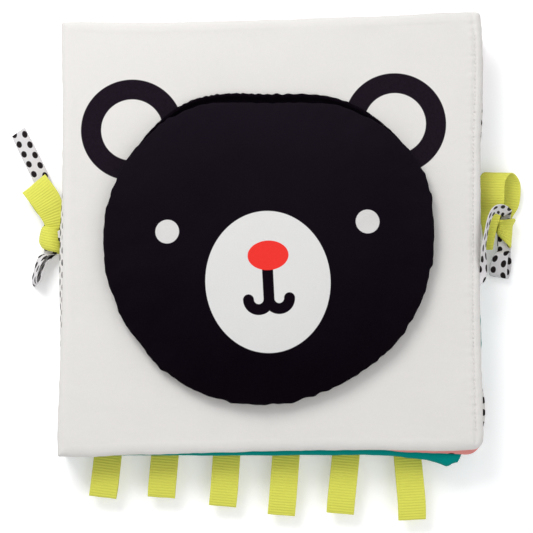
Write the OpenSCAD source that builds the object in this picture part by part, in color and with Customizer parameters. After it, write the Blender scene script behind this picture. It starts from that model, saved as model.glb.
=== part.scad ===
// A padded cloth book with a stuffed bear head sewn to its front cover.
// It lies on its back cover: +X runs from the spine to the fore edge,
// +Y up the page and +Z through the leaves. The origin is the middle of its underside.

/* [Covers] */
// Width of the front cover, spine to fore edge
cover_w = 241; // [160:1:320]
// Height of the front cover at the spine
cover_h = 251; // [170:1:320]
// How much higher the fore edge sits than the spine edge
fore_lift = 4.5; // [0:0.5:12]
// How far the back cover reaches past the front cover's fore edge
back_reach = 5; // [0:0.5:10]
// Thickness of the padded front cover
front_t = 7; // [5:0.5:12]
// Thickness of the padded back cover
back_t = 6.5; // [4:0.5:12]
// Thickness of the spine cloth
spine_t = 0.8; // [0.6:0.1:2]

/* [Leaves] */
// Number of padded leaves between the covers
leaves = 2; // [2:1:4]
// Thickness of each padded leaf
leaf_t = 8.5; // [5:0.5:12]
// How far the uppermost leaf hangs out below the cover at its fore corner
leaf_sag = 8; // [0:0.5:12]

/* [Bear] */
// Width of the bear head
head_w = 188; // [110:1:220]
// Place of the head's middle across the cover
head_x = -2.2; // [-8:0.2:8]
// Place of the head's middle up the cover
head_y = -7.4; // [-12:0.2:4]
// Thickness of the cloth behind the stuffed head
backing_t = 2; // [1:0.5:4]
// Thickness of the stuffed head
pad_t = 20; // [12:1:24]
// How far the backing shows above the stuffed head, at the pocket's mouth
pocket_show = 4.6; // [2:0.2:8]
// Turn of the face in its plane, in degrees
face_turn = 2.9; // [-8:0.1:8]
// Radius of an eye
eye_r = 6.6; // [4:0.1:10]
// Distance from one eye's middle to the other's
eye_gap = 114; // [80:1:140]
// Half of the muzzle's width
muzzle_rx = 35.2; // [28:0.2:42]
// Half of the muzzle's height
muzzle_ry = 40; // [34:0.2:46]
// Half of the nose's width
nose_rx = 11.6; // [8:0.2:16]
// Half of the nose's height
nose_ry = 8.4; // [6:0.2:12]
// Width of the mouth's line
mouth_line = 6.2; // [3:0.2:8]
// Outer radius of an ear's ring
ear_r = 29.8; // [22:0.2:34]
// Inner radius of an ear's ring
ear_hole_r = 18; // [12:0.2:20]
// Distance from one ear's middle to the other's
ear_gap = 152; // [100:1:180]
// Height of the ears' middles above the head's middle
ear_rise = 71; // [60:1:84]
// Thickness of a printed field
print_t = 0.3; // [0.2:0.1:0.5]

/* [Ribbons] */
// Width of the ribbed ribbon
ribbed_w = 16; // [12:1:20]
// Width of the dotted ribbon
dotted_w = 10; // [8:0.5:12]
// Thickness of a ribbon
ribbon_t = 0.8; // [0.5:0.1:1]

/* [Hidden] */

// Room between two pieces that move apart
clear = 0.3;
// Levels through the book
leaves_z = back_t + clear;
front_z = leaves_z + leaves * leaf_t + clear;
cover_top = front_z + front_t;
pad_z = cover_top + backing_t;
face_z = pad_z + pad_t;
// Edges seen from above
panel_corner_r = 6.5;
spine_x = -cover_w / 2;
hinge_x = spine_x - spine_t;
fore_x = cover_w / 2;

// How each panel's corners sit: lift of the fore edge at the foot and at the head
cover_foot = -cover_h / 2 - 1.5;
cover_head = cover_h / 2 - 1.5;
foot_lift = fore_lift - 0.8;
head_lift = fore_lift + 1.2;

paper_white = "#ece9e5";
ink = "#1b1319";
lime = "#d8d866";
teal = "#05938b";

// One Catmull-Rom step between b and c
function blend_row(a, b, c, d, u) =
    b + 0.5 * u * (c - a + u * (2 * a - 5 * b + 4 * c - d + u * (3 * (b - c) + d - a)));

// A smooth run of rows through the given ones
function smooth_rows(rows, steps) =
    let (last = len(rows) - 1)
    [for (i = [0 : last - 1], k = [0 : steps - 1])
        blend_row(rows[max(i - 1, 0)], rows[i], rows[i + 1], rows[min(i + 2, last)], k / steps),
     rows[last]];

function unit(v) = v / norm(v);

// A ribbon along rows of [x, y, z, width, turn, tilt]. Turn and tilt aim the line
// across the ribbon: turn in plan from +X, tilt up from the table.
module ribbon(rows, steps = 5) {
    path = smooth_rows(rows, steps);
    last = len(path) - 1;
    spot = [for (p = path) [p[0], p[1], p[2]]];
    across = [for (p = path) [cos(p[4]) * cos(p[5]), sin(p[4]) * cos(p[5]), sin(p[5])]];
    along = [for (i = [0 : last]) unit(spot[min(i + 1, last)] - spot[max(i - 1, 0)])];
    corner = [[1, 1], [-1, 1], [-1, -1], [1, -1]];
    points = [for (i = [0 : last])
        let (face = unit(cross(along[i], across[i])))
        for (c = corner) spot[i] + across[i] * c[0] * path[i][3] / 2 + face * c[1] * ribbon_t / 2];
    sides = [for (i = [0 : last - 1], k = [0 : 3])
        let (a = 4 * i + k, b = 4 * i + (k + 1) % 4)
        for (t = [[a, b + 4, b], [a, a + 4, b + 4]]) t];
    tail = 4 * last;
    ends = [[0, 1, 2], [0, 2, 3], [tail + 2, tail + 1, tail], [tail + 3, tail + 2, tail]];
    polyhedron(points, concat(sides, ends));
}

// A panel's outline with rounded corners, drawn in all round by inset
function panel_outline(left, right, foot, head, low_lift, high_lift, inset) =
    let (r = panel_corner_r)
    let (middles = [[right - r, head + high_lift - r], [left + r, head - r],
                    [left + r, foot + r], [right - r, foot + low_lift + r]])
    [for (i = [0 : 3], a = [0 : 22.5 : 90])
        middles[i] + (r - inset) * [cos(90 * i + a), sin(90 * i + a)]];

// A flat stuffed panel with round edges, standing on its own underside
module padded_panel(left, right, foot, head, low_lift, high_lift, t) {
    slice = 0.02;
    hull()
        for (a = [-90 : 30 : 90])
            translate([0, 0, (t - slice) * (1 + sin(a)) / 2])
                linear_extrude(slice)
                    polygon(panel_outline(left, right, foot, head, low_lift, high_lift,
                                          (1 - cos(a)) * t / 2));
}

module front_panel() {
    translate([0, 0, front_z])
        padded_panel(spine_x + clear, fore_x, cover_foot, cover_head,
                     foot_lift, head_lift, front_t);
}

// The stitched line down the fore edge, drawn in as a shallow groove
module front_cover() {
    stitch_in = 5;
    stitch_r = 0.8;
    color(paper_white)
        difference() {
            front_panel();
            bow_slot();
            translate([fore_x - stitch_in, cover_foot + 2 * front_t, cover_top + stitch_r / 2])
                rotate([-90, 0, 0])
                    cylinder(r = stitch_r, h = cover_h - 4 * front_t + fore_lift, $fn = 24);
        }
}

module back_cover() {
    color(paper_white)
        padded_panel(spine_x + clear, fore_x + back_reach, cover_foot + 1, cover_head - 3,
                     foot_lift, head_lift - 2, back_t);
}

module spine_cloth() {
    translate([hinge_x, cover_foot + front_t / 2, 0])
        cube([spine_t, cover_h - front_t, cover_top]);
}

module spine() {
    color(paper_white)
        spine_cloth();
}

// The lower leaves lie inside the cover's outline; the uppermost hangs out at its foot
module pages() {
    color(teal)
        difference() {
            for (i = [0 : leaves - 1]) {
                top_leaf = i == leaves - 1;
                translate([0, 0, leaves_z + i * leaf_t])
                    padded_panel(spine_x, fore_x + (top_leaf ? 1 : 0),
                                 cover_foot + (top_leaf ? 1.5 : hem_in), cover_head - 3,
                                 top_leaf ? -leaf_sag + fore_lift - 2 : foot_lift,
                                 head_lift - 2, leaf_t);
            }
            for (i = [0 : len(TABS) - 1])
                on_hem(i)
                    tab_slot();
        }
}

// Reach of the head from its middle every 30 degrees from +X, as a share of half its width
head_reach = [1, 1.055, 1.034, 0.941, 1.033, 1.019, 1.001, 0.97, 0.963, 0.941, 0.925, 0.962];
pocket_side = 1;

// The head's outline, drawn in at its crown by lower and all round by inset
function head_outline(lower, inset) =
    let (n = len(head_reach), steps = 6, crown = n / 4)
    let (reach = [for (i = [0 : n - 1])
        head_reach[i] * head_w / 2 - (abs(i - crown) <= pocket_side ? lower : 0)])
    [for (i = [0 : n - 1], k = [0 : steps - 1])
        let (r = blend_row(reach[(i + n - 1) % n], reach[i], reach[(i + 1) % n],
                           reach[(i + 2) % n], k / steps) - inset,
             a = (i + k / steps) * 360 / n)
        [r * cos(a), r * sin(a)]];

module on_head(z) {
    translate([head_x, head_y, z])
        children();
}

module head_backing() {
    color(ink)
        on_head(cover_top)
            linear_extrude(backing_t)
                polygon(head_outline(0, 0));
}

// The stuffed head: slices of its outline, drawn in towards a flat crown and a tucked seam
module head_pad() {
    shoulder = 0.133 * head_w;
    tuck = 0.2 * pad_t;
    waist = 0.3 * pad_t;
    slice = 0.02;
    color(ink)
        on_head(pad_z)
            hull()
                for (a = [-90 : 18 : 90]) {
                    up = a < 0 ? waist : pad_t - waist;
                    draw_in = (1 - cos(a)) * (a < 0 ? tuck : shoulder);
                    level = waist + sin(a) * up - (a > 0 ? slice : 0);
                    translate([0, 0, level])
                        linear_extrude(slice)
                            polygon(head_outline(pocket_show, draw_in));
                }
}

module on_face(z) {
    on_head(z)
        rotate(face_turn)
            children();
}

module oval(rx, ry) {
    polygon([for (a = [0 : 5 : 355]) [rx * cos(a), ry * sin(a)]]);
}

// Heights of the face's fields from the head's middle
eye_y = 0.06 * head_w;
muzzle_y = -0.5 * muzzle_ry;
nose_y = -0.13 * muzzle_ry;
mouth_y = -0.75 * muzzle_ry;

module eyes() {
    color("#d8d7d4")
        on_face(face_z)
            for (s = [-1, 1])
                translate([s * eye_gap / 2, eye_y])
                    cylinder(r = eye_r, h = print_t, $fn = 64);
}

module muzzle() {
    color("#dedede")
        on_face(face_z)
            translate([0, muzzle_y])
                linear_extrude(print_t)
                    oval(muzzle_rx, muzzle_ry);
}

module nose() {
    color("#ef3933")
        on_face(face_z + print_t)
            translate([0, nose_y])
                linear_extrude(print_t)
                    oval(nose_rx, nose_ry);
}

// A stem under the nose that ends in two upturned hooks
module mouth() {
    hook_r = 0.94 * mouth_line;
    color(ink)
        on_face(face_z + print_t)
            linear_extrude(print_t)
                difference() {
                    union() {
                        translate([-mouth_line / 2, mouth_y])
                            square([mouth_line, nose_y - mouth_y]);
                        for (s = [-1, 1])
                            translate([s * hook_r, mouth_y]) {
                                intersection() {
                                    difference() {
                                        circle(r = hook_r + mouth_line / 2, $fn = 64);
                                        circle(r = hook_r - mouth_line / 2, $fn = 48);
                                    }
                                    translate([-3 * hook_r, -3 * hook_r])
                                        square([6 * hook_r, 3 * hook_r]);
                                }
                                translate([s * hook_r, 0])
                                    circle(d = mouth_line, $fn = 48);
                            }
                    }
                    translate([0, nose_y])
                        oval(nose_rx, nose_ry);
                }
}

module ear_rings() {
    color(ink)
        on_head(cover_top)
            linear_extrude(print_t)
                difference() {
                    rotate(face_turn / 2)
                        for (s = [-1, 1])
                            translate([s * ear_gap / 2 - ear_rise * sin(face_turn / 2), ear_rise])
                                difference() {
                                    circle(r = ear_r, $fn = 96);
                                    circle(r = ear_hole_r, $fn = 72);
                                }
                    polygon(head_outline(0, 0));
                }
}

// Each tab's place along the foot as a share of the cover's width, its reach as a share
// of its own width, and its lean
TABS = [[-0.396, 1.5, -8.5], [-0.26, 1.5, -5.7], [-0.11, 1.84, -6],
        [0.034, 2.09, -5.6], [0.182, 2.06, -5.9], [0.328, 2.25, 4.5]];
// How far the lower leaf's hem sits inside the cover's foot
hem_in = 4;
// How deep a ribbon's end is sewn into a seam
sewn = 5;
// Half of the distance between a tab's two layers, at the hem and near the fold
tab_near = ribbon_t / 2 + 0.2;
tab_far = ribbon_t / 2 + 1.4;
// Room round a ribbon in its slot
slot_room = 0.08;

// The place on the lower leaf's hem where a tab is sewn in, turned by the tab's lean
module on_hem(i) {
    hem = cover_foot + hem_in + foot_lift * (TABS[i][0] + 0.5);
    translate([TABS[i][0] * cover_w, hem, leaves_z + leaf_t / 2])
        rotate(TABS[i][2])
            children();
}

// The slot in the hem that holds both ends of a tab. It starts outside the hem,
// because the hem slopes against the tab's lean.
module tab_slot() {
    wide = ribbed_w + 2 * slot_room;
    tall = 2 * (tab_near + slot_room) + ribbon_t;
    translate([-wide / 2, -hem_in, -tall / 2])
        cube([wide, hem_in + sewn + slot_room, tall]);
}

// A loop of ribbon folded at its end and caught in the lower leaf's hem
module ribbon_tab(i) {
    reach = TABS[i][1] * ribbed_w;
    free = -4;
    color(lime)
        on_hem(i)
            ribbon([[0, sewn, tab_near, ribbed_w, 0, 0],
                    [0, 0, tab_near, ribbed_w, 0, 0],
                    [0, free, tab_near, ribbed_w, 0, 0],
                    [0, 2 - reach, tab_far, ribbed_w, 0, 0],
                    [0, -reach, 0, ribbed_w, 0, 0],
                    [0, 2 - reach, -tab_far, ribbed_w, 0, 0],
                    [0, free, -tab_near, ribbed_w, 0, 0],
                    [0, 0, -tab_near, ribbed_w, 0, 0],
                    [0, sewn, -tab_near, ribbed_w, 0, 0]], 3);
}

// The wrap of a knot: a short soft tube lying along Y
module knot(w, l, h) {
    end = 0.8;
    hull() {
        rotate([90, 0, 0])
            linear_extrude(l - 4, center = true)
                oval(w / 2, h / 2);
        rotate([90, 0, 0])
            linear_extrude(l, center = true)
                oval(end * w / 2, end * h / 2);
    }
}

// The bows are drawn for a ribbed ribbon 16 mm wide and grow with it
bow = ribbed_w / 16;
knot_w = 13 * bow;
knot_h = 10 * bow;
// Where each bow's knot sits
left_knot = [hinge_x - 8.7 * bow, 0.009 * cover_h, 0.64 * knot_h];
right_knot = [fore_x + 18 * bow, 0.016 * cover_h, 0.7 * knot_h];
// The gathered end of the right bow in the front cover's seam
bow_end_w = 5 * bow;
bow_drop = 28.5 * bow;
// Where the line across that end points, in plan
bow_aim = 135;
sewn_z = front_z + front_t / 2;
// Levels of the dotted ribbon's passes through a knot, before it grows, and its width there
pass_a = -2.9;
pass_b = -1.2;
pass_w = 0.8 * dotted_w;
// The dotted stub that comes out of the left knot's side and is sewn to the spine
stub_z = 2.3 * bow;
stub_w = 5 * bow;

// Rows given from a knot, as places
function from_knot(k, rows) =
    [for (r = rows) [k[0] + bow * r[0], k[1] + bow * r[1], k[2] + bow * r[2], r[3], r[4], r[5]]];

// A pass runs straight through the knot at one level, and the last one ends inside it
function straight_pass(level) = [for (y = [12, 8.5, 0, -8.5, -12]) [0, y, level, pass_w, 0, 0]];
function last_pass(level) = [for (y = [-12, -8.5, -1, 6.5]) [0, y, level, pass_w, 0, 0]];

// The way through a knot for the dotted ribbon's passes
module knot_way(at) {
    wide = pass_w + 2 * slot_room;
    tall = bow * (pass_b - pass_a) + ribbon_t + 2 * slot_room;
    translate([at[0] - wide / 2, at[1] - ribbed_w, at[2] + bow * pass_a - ribbon_t / 2 - slot_room])
        cube([wide, 2 * ribbed_w, tall]);
}

// The way into the left knot's side for the stub
module stub_way() {
    wide = stub_w + 2 * slot_room;
    tall = ribbon_t + 2 * slot_room;
    translate([left_knot[0], left_knot[1] - wide / 2, left_knot[2] + stub_z - tall / 2])
        cube([knot_w, wide, tall]);
}

module left_lime_ribbon() {
    wide = ribbed_w;
    color(lime)
        difference() {
            union() {
                translate(left_knot)
                    knot(knot_w, ribbed_w, knot_h);
                ribbon(from_knot(left_knot, [
                    [0, 4, 1.6, 0.5 * wide, 0, 0], [0, 8, 2.8, 0.58 * wide, 8, 0],
                    [0.4, 12.5, 3.8, 0.8 * wide, 16, 0], [-2.2, 20.5, 4.4, 1.06 * wide, 28, 0],
                    [-9.9, 29.8, 3, 1.08 * wide, 38, -3], [-11.2, 31.6, 0.4, 1.08 * wide, 40, -4],
                    [-10.6, 29.8, -2, 1.05 * wide, 38, 0], [-6, 19, -1.6, wide, 28, 0],
                    [-1.6, 10.5, 0.6, 0.65 * wide, 10, 0], [0, 4, 0.3, 0.5 * wide, 0, 0]]), 3);
            }
            knot_way(left_knot);
            stub_way();
        }
}

// From the loose tail through the knot, round an open loop and back into the knot, and a
// stub from the knot to the spine
module left_dotted_ribbon() {
    k = left_knot;
    wide = dotted_w;
    low = (2.2 - k[2]) / bow;
    color(paper_white) {
        ribbon(from_knot(k, concat(
            [[-18.8, 61, low, 0.95 * wide, 31, 0], [-12, 47, low - 0.4, wide, 27, 0],
             [-5.6, 33, low - 0.6, wide, 22, 0], [-1.8, 21, low, wide, 10, 0]],
            straight_pass(pass_b),
            [[-4.2, -17.5, -1.2, 0.9 * wide, 12, 45], [-8, -23, -0.6, wide, 15, 64],
             [-9, -27, -0.4, wide, 15, 66], [-7, -29.2, -0.4, wide, 15, 66],
             [-5, -27, -0.4, wide, 15, 66], [-4, -23, -0.4, wide, 15, 64],
             [-1.4, -17.5, -1.4, 0.9 * wide, 12, 40]],
            last_pass(pass_a))), 4);
        ribbon([[k[0] + 2 * bow, k[1], k[2] + stub_z, stub_w, 90, 0],
                [k[0] + 4 * bow, k[1], k[2] + stub_z, stub_w, 90, 0],
                [k[0] + 0.5 * knot_w, k[1], k[2] + stub_z, stub_w, 90, 0],
                [hinge_x - 0.02, k[1], k[2] + stub_z, 2 * stub_w, 90, 0]], 4);
    }
}

module right_lime_ribbon() {
    wide = ribbed_w;
    color(lime)
        difference() {
            union() {
                translate(right_knot)
                    knot(0.92 * knot_w, ribbed_w, knot_h);
                ribbon(from_knot(right_knot, [
                    [-10.6, -8.5, 1.4, 0.4 * wide, 0, 10], [-9.6, 4, 3, 0.6 * wide, 0, 10],
                    [-9.2, 18, 5.2, wide, 0, 5], [-8.8, 31, 6.6, wide, 0, 0],
                    [-5, 35.6, 3.6, 1.06 * wide, 0, -10], [-1.2, 31.2, -1, 1.04 * wide, 0, -6],
                    [-0.4, 19, -3.4, 0.9 * wide, 0, 0], [0, 10.5, -4.3, 0.5 * wide, 0, 0],
                    [0, 4, -4.1, 0.4 * wide, 0, 0]]), 4);
            }
            knot_way(right_knot);
        }
}

// The slot in the front cover's seam that holds the end of the right bow
module bow_slot() {
    wide = bow_end_w + 2 * slot_room;
    tall = ribbon_t + 8 * slot_room;
    translate([fore_x, right_knot[1] - bow_drop, sewn_z])
        rotate(bow_aim)
            translate([-wide / 2, -2 * sewn, -tall / 2])
                cube([wide, 3 * sewn + slot_room, tall]);
}

// From the cover's fore edge over an arch, through the knot and round a folded loop
module right_dotted_ribbon() {
    k = right_knot;
    wide = dotted_w;
    foot = k[1] - bow_drop;
    color(paper_white)
        ribbon(concat(
            [for (d = [-0.7 * sewn, -0.14 * sewn, 0.42 * sewn])
                [fore_x + d, foot + d, sewn_z, bow_end_w, bow_aim, 0]],
            [[fore_x + 2.8, k[1] - 19.5 * bow, sewn_z + 2.4, 0.7 * wide, 150, 40],
             [fore_x + 2.6, k[1] - 11 * bow, sewn_z + 4.4, wide, 162, 60],
             [fore_x + 4.2 * bow, k[1] - 2 * bow, sewn_z + 4.2, wide, 162, 66],
             [fore_x + 6 * bow, k[1] + 6.5 * bow, sewn_z + 2.5, wide, 155, 68],
             [fore_x + 9.6 * bow, k[1] + 13 * bow, sewn_z - 1, wide, 125, 62],
             [fore_x + 14 * bow, k[1] + 15.6 * bow, sewn_z - 6.5, wide, 75, 50]],
            from_knot(k, concat(
                [[1.6, 15.4, 6.5, 0.64 * wide, 40, 26]],
                straight_pass(pass_b),
                [[-3, -17, 0.4, wide, 6, 0], [-4.6, -22.5, -0.6, wide, 2, 0],
                 [-3.8, -24.6, -2.6, wide, -8, 0], [-2.6, -22.5, -4.4, wide, -12, 0],
                 [-1.2, -17, -4.2, 0.9 * wide, -8, 0]],
                last_pass(pass_a)))), 4);
}

front_cover();
back_cover();
spine();
pages();
head_backing();
head_pad();
ear_rings();
eyes();
muzzle();
nose();
mouth();
ribbon_tab(0);  // ribbon_tab_1
ribbon_tab(1);  // ribbon_tab_2
ribbon_tab(2);  // ribbon_tab_3
ribbon_tab(3);  // ribbon_tab_4
ribbon_tab(4);  // ribbon_tab_5
ribbon_tab(5);  // ribbon_tab_6
left_lime_ribbon();
left_dotted_ribbon();
right_lime_ribbon();
right_dotted_ribbon();
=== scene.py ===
"""A padded cloth book lying flat, with a stuffed bear head on its cover."""
import math

import bmesh
import bpy
import numpy as np
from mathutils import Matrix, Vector, noise
from mathutils.bvhtree import BVHTree


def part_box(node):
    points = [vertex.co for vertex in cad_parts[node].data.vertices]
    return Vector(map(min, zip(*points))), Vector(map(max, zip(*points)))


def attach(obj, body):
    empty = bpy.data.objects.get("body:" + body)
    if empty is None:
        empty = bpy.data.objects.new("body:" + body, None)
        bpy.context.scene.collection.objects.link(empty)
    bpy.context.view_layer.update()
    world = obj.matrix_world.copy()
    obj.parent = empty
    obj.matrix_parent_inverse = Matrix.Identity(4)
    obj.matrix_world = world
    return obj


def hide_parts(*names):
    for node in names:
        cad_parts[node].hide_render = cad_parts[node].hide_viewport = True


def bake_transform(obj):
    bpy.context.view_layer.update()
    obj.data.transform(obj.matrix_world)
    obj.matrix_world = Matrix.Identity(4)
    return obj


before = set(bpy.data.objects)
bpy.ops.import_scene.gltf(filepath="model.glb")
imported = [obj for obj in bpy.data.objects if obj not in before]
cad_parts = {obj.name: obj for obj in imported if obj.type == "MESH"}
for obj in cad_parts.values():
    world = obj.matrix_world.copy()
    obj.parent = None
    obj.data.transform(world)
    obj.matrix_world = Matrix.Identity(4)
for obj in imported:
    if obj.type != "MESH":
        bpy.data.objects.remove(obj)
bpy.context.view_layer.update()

MM = 0.001

# The book's main sizes in millimetres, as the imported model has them
low, high = (np.array(p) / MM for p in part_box("front_cover"))
COVER_TOP = high[2]
COVER_UNDER = low[2]
FORE_X = high[0]
COVER_W = 2 * FORE_X
COVER_H = 251.0
HINGE_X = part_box("spine")[0][0] / MM
BACK_LOW, BACK_HIGH = (np.array(p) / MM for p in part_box("back_cover"))
PAGES_LOW, PAGES_HIGH = (np.array(p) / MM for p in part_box("pages"))
PAD_LOW, PAD_HIGH = (np.array(p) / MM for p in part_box("head_pad"))
LEAF_T = (PAGES_HIGH[2] - PAGES_LOW[2]) / 2

# The head's middle, its width, and its reach every 30 degrees as a share of half the width
HEAD_X = -2.2
HEAD_Y = -7.4
HEAD_W = 188.0
HEAD_REACH = [1, 1.055, 1.034, 0.941, 1.033, 1.019, 1.001, 0.97, 0.963, 0.941, 0.925, 0.962]
# How far below the backing's crown the head stops, at the pocket's mouth, in millimetres
POCKET_SHOW = 4.6
# How far the face is turned, in degrees
FACE_TURN = 2.9
# How much lower than its solid the head's flat form is, for the stuffing to fill
STUFFED = 3.5
# What remeshing and smoothing take off its rim
RIM_LOSS = 2.9


def linear(*rgb):
    """An 8-bit screen colour as the linear one that Blender's sockets take."""
    parts = [c / 255 for c in rgb]
    return tuple(c / 12.92 if c <= 0.04045 else ((c + 0.055) / 1.055) ** 2.4 for c in parts) + (1,)


WHITE_CLOTH = linear(231, 228, 224)
INK = linear(20, 12, 22)
BLACK_CLOTH = linear(12, 6, 14)
PRINT_WHITE = linear(221, 220, 218)
EYE_WHITE = linear(213, 211, 209)
NOSE_RED = linear(239, 57, 51)
LIME = linear(226, 226, 92)
TEAL = linear(0, 142, 135)
PINK = linear(232, 150, 144)
RIBBON_WHITE = linear(222, 219, 220)
DOT_BLACK = linear(26, 18, 19)


class Nodes:
    """Short calls for building one material's nodes."""

    def __init__(self, name):
        self.material = bpy.data.materials.new(name)
        self.material.use_nodes = True
        self.tree = self.material.node_tree
        self.tree.nodes.clear()
        self.out = self.tree.nodes.new("ShaderNodeOutputMaterial")
        self.shader = self.tree.nodes.new("ShaderNodeBsdfPrincipled")
        self.link(self.shader.outputs[0], self.out.inputs["Surface"])

    def link(self, source, target):
        self.tree.links.new(source, target)

    def put(self, value, socket):
        if hasattr(value, "is_output"):
            self.link(value, socket)
        else:
            socket.default_value = value

    def math(self, kind, *values):
        n = self.tree.nodes.new("ShaderNodeMath")
        n.operation = kind
        for i, v in enumerate(values):
            self.put(v, n.inputs[i])
        return n.outputs[0]

    def vector(self, kind, *values):
        n = self.tree.nodes.new("ShaderNodeVectorMath")
        n.operation = kind
        for i, v in enumerate(values):
            self.put(v, n.inputs[i])
        return n.outputs["Value" if kind in ("LENGTH", "DOT_PRODUCT", "DISTANCE") else "Vector"]

    def place(self):
        """The point on the piece, in millimetres."""
        n = self.tree.nodes.new("ShaderNodeTexCoord")
        return self.vector("MULTIPLY", n.outputs["Object"], (1000, 1000, 1000))

    def on_ribbon(self):
        """Across and along the ribbon, in millimetres."""
        n = self.tree.nodes.new("ShaderNodeTexCoord")
        return self.vector("MULTIPLY", n.outputs["UV"], (1000, 1000, 0))

    def split(self, vector):
        n = self.tree.nodes.new("ShaderNodeSeparateXYZ")
        self.link(vector, n.inputs[0])
        return n.outputs

    def noise(self, vector, scale, detail=2, roughness=0.5):
        n = self.tree.nodes.new("ShaderNodeTexNoise")
        self.link(vector, n.inputs["Vector"])
        n.inputs["Scale"].default_value = scale
        n.inputs["Detail"].default_value = detail
        n.inputs["Roughness"].default_value = roughness
        return n.outputs["Fac"]

    def wave(self, value, pitch, phase=0.0):
        """A ripple from 0 to 1 along value, one for each pitch."""
        turned = self.math("MULTIPLY_ADD", value, 2 * math.pi / pitch, phase)
        return self.math("MULTIPLY_ADD", self.math("SINE", turned), 0.5, 0.5)

    def step(self, value, edge, soft=0.15):
        """1 where value is below edge, 0 above it, with an edge soft millimetres wide."""
        n = self.tree.nodes.new("ShaderNodeMapRange")
        self.put(value, n.inputs["Value"])
        n.inputs["From Min"].default_value = edge - soft / 2
        n.inputs["From Max"].default_value = edge + soft / 2
        n.inputs["To Min"].default_value = 1
        n.inputs["To Max"].default_value = 0
        return n.outputs[0]

    def mix(self, share, a, b):
        n = self.tree.nodes.new("ShaderNodeMix")
        n.data_type = "RGBA"
        self.put(share, n.inputs[0])
        self.put(a, n.inputs[6])
        self.put(b, n.inputs[7])
        return n.outputs[2]

    def shade(self, colour, share, darker=0.9):
        """Colour, darkened by up to darker where share is 1."""
        n = self.tree.nodes.new("ShaderNodeMix")
        n.data_type = "RGBA"
        n.blend_type = "MULTIPLY"
        self.put(share, n.inputs[0])
        self.put(colour, n.inputs[6])
        n.inputs[7].default_value = (darker, darker, darker, 1)
        return n.outputs[2]

    def oval(self, point, middle, radii, turn=0.0):
        """Distance from middle, where 1 is on an oval of those radii."""
        moved = self.vector("SUBTRACT", point, (middle[0], middle[1], 0))
        if turn:
            n = self.tree.nodes.new("ShaderNodeVectorRotate")
            n.rotation_type = "Z_AXIS"
            self.link(moved, n.inputs["Vector"])
            n.inputs["Angle"].default_value = -math.radians(turn)
            moved = n.outputs[0]
        return self.vector("LENGTH", self.vector("MULTIPLY", moved, (1 / radii[0], 1 / radii[1], 0)))

    def dots(self, point, cell, radii, start=(0, 0)):
        """1 on dots set in two grids, each half a cell from the other."""
        at = self.vector("MULTIPLY", self.vector("ADD", point, (*start, 0)), (1 / cell[0], 1 / cell[1], 0))
        far = []
        for shift in (0.0, 0.5):
            part = self.vector("FRACTION", self.vector("ADD", at, (shift, shift, 0)))
            part = self.vector("SUBTRACT", part, (0.5, 0.5, 0))
            part = self.vector("MULTIPLY", part, (cell[0] / radii[0], cell[1] / radii[1], 0))
            far.append(self.vector("LENGTH", part))
        return self.step(self.math("MINIMUM", *far), 1, 0.12)

    def bump(self, height, strength, distance):
        n = self.tree.nodes.new("ShaderNodeBump")
        n.inputs["Strength"].default_value = strength
        n.inputs["Distance"].default_value = distance * MM
        self.link(height, n.inputs["Height"])
        self.link(n.outputs[0], self.shader.inputs["Normal"])

    def finish(self, colour, roughness=0.85, sheen=0.0, sheen_roughness=0.5, specular=0.25):
        s = self.shader.inputs
        self.put(colour, s["Base Color"])
        self.put(roughness, s["Roughness"])
        s["Sheen Weight"].default_value = sheen
        s["Sheen Roughness"].default_value = sheen_roughness
        s["Specular IOR Level"].default_value = specular
        return self.material


def weave(n, point, pitch=0.62):
    """Height of a plain weave with uneven threads."""
    wander = n.noise(point, 0.35, 3)
    x, y, _ = n.split(point)
    warp = n.wave(n.math("ADD", x, n.math("MULTIPLY", wander, 0.5)), pitch)
    weft = n.wave(n.math("ADD", y, n.math("MULTIPLY", wander, 0.5)), pitch)
    return n.math("ADD", n.math("MULTIPLY", warp, weft), n.math("MULTIPLY", n.noise(point, 1.7, 3), 0.6))


def cotton(name, colour, print_on=None):
    """Matt woven cotton. print_on(nodes, point, colour) adds what is printed on it."""
    n = Nodes(name)
    point = n.place()
    threads = weave(n, point)
    mottled = n.shade(colour, n.noise(point, 0.03, 4, 0.6), 0.95)
    mottled = n.shade(mottled, n.noise(point, 0.45, 3, 0.7), 0.955)
    base = n.shade(mottled, n.math("SUBTRACT", 1, threads), 0.95)
    if print_on:
        base = print_on(n, point, base)
    n.bump(threads, 0.5, 0.16)
    return n.finish(base, 0.95, sheen=0.02, specular=0.05)


# The ear rings' middles and radii, in millimetres
EAR_MIDDLES = ((-81.6, 62.9), (71.6, 66.7))
EAR_R, EAR_HOLE_R = 29.8, 18


def ear_print(n, point, base):
    """Two ink rings on the front cover, for the bear's ears."""
    ring = None
    for middle in EAR_MIDDLES:
        far = n.oval(point, middle, (1, 1))
        hole = n.step(far, EAR_HOLE_R, 0.35)
        part = n.math("MULTIPLY", n.step(far, EAR_R, 0.35), n.math("SUBTRACT", 1, hole))
        ring = part if ring is None else n.math("MAXIMUM", ring, part)
    patchy_tone = n.mix(n.noise(point, 0.8, 3), INK, linear(34, 26, 36))
    return n.mix(ring, base, patchy_tone)


def dot_print(n, point, base):
    return n.mix(n.dots(point, (12.4, 7.2), (2, 2)), base, DOT_BLACK)


def dash_print(n, point, base):
    """Short black strokes in offset rows."""
    return n.mix(n.dots(point, (27, 9), (2.4, 0.9), (5, 8.2)), base, DOT_BLACK)


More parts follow.
